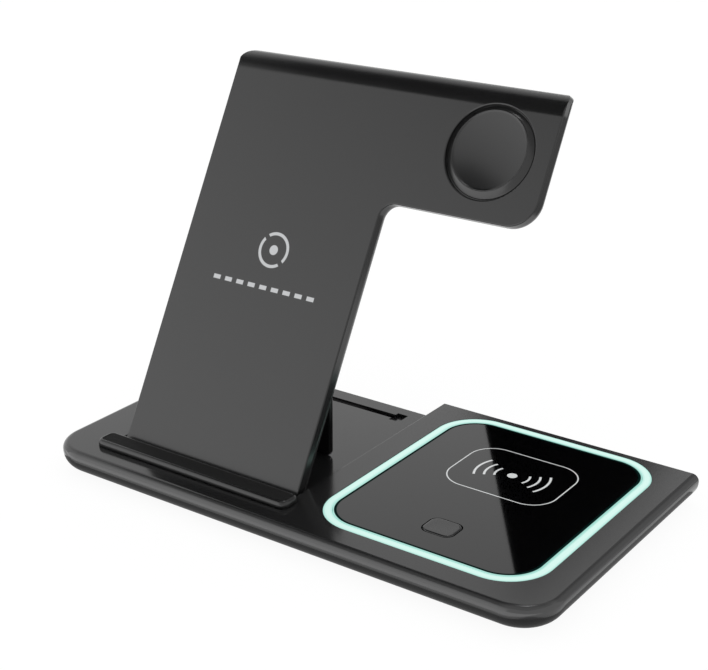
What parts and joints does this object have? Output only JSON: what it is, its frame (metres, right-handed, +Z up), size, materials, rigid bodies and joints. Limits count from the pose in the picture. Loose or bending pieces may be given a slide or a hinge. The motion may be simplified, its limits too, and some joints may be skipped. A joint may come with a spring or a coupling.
{
  "type": "wireless charging station",
  "caption": "Folding wireless charging station: an L-shaped phone stand with a watch puck on its arm, hinged on a flat base with a lit earbud pad and a ledge.",
  "frame": {"origin": "middle of the base's footprint, on the table under its feet", "axes": "+X along the base to the right as seen by the user, +Y to the rear, +Z up"},
  "size_m": [0.1712, 0.0948, 0.1179],
  "materials": {
    "base_shell": "dark grey, semi-gloss",
    "stand_shell": "dark grey, fine matte",
    "gloss_black": "glossy black",
    "key_plastic": "grey, glossy",
    "ring_lens": "milky, lit from below in mint green",
    "puck_plastic": "grey, satin",
    "black_rubber": "matte black",
    "black_plastic": "black",
    "board_green": "green circuit board",
    "lamp_white": "white lamp",
    "copper": "enamelled copper wire",
    "ferrite": "dark ferrite sheet",
    "steel": "plated steel"
  },
  "bodies": {
    "base": {"base_cover": "base_shell", "base_plate": "base_shell", "base_screws": "steel", "rubber_feet": "black_rubber", "light_ring": "ring_lens", "pad_plate": "gloss_black", "key_switch": "black_plastic", "led_board": "board_green", "ring_leds": "lamp_white", "earbud_coil": "copper", "earbud_shield": "ferrite", "main_board": "board_green", "board_parts": "black_plastic", "usb_socket": "steel", "rest_lip": "stand_shell", "rest_strip": "black_rubber", "hinge_pins": "steel", "strut_pin": "steel"},
    "key": {"light_key": "key_plastic"},
    "stand": {"stand_front": "stand_shell", "stand_back": "stand_shell", "phone_coil": "copper", "phone_shield": "ferrite", "stand_board": "board_green", "stand_parts": "black_plastic", "watch_puck": "puck_plastic", "watch_coil": "copper", "watch_magnet": "steel", "watch_shield": "ferrite"},
    "strut": {"strut_plate": "stand_shell"}
  },
  "joints": [
    {"name": "stand_fold", "type": "hinge", "parent": "base", "child": "stand", "pos_m": [-0.0357, -0.0277, 0.0062], "axis": [-1, 0, 0], "range_deg": [0, 61.14]},
    {"name": "strut_fold", "type": "hinge", "parent": "base", "child": "strut", "pos_m": [-0.0357, 0.0053, 0.0041], "axis": [-1, 0, 0], "range_deg": [0, 90]},
    {"name": "key_press", "type": "slide", "parent": "base", "child": "key", "axis": [0, 0, -1], "range_m": [0, 0.0004], "stiffness_N_per_m": 400, "springref_m": -0.001}
  ],
  "couplings": [
    {"joint": "strut_fold", "follows": "stand_fold", "ratio": 1.472}
  ]
}
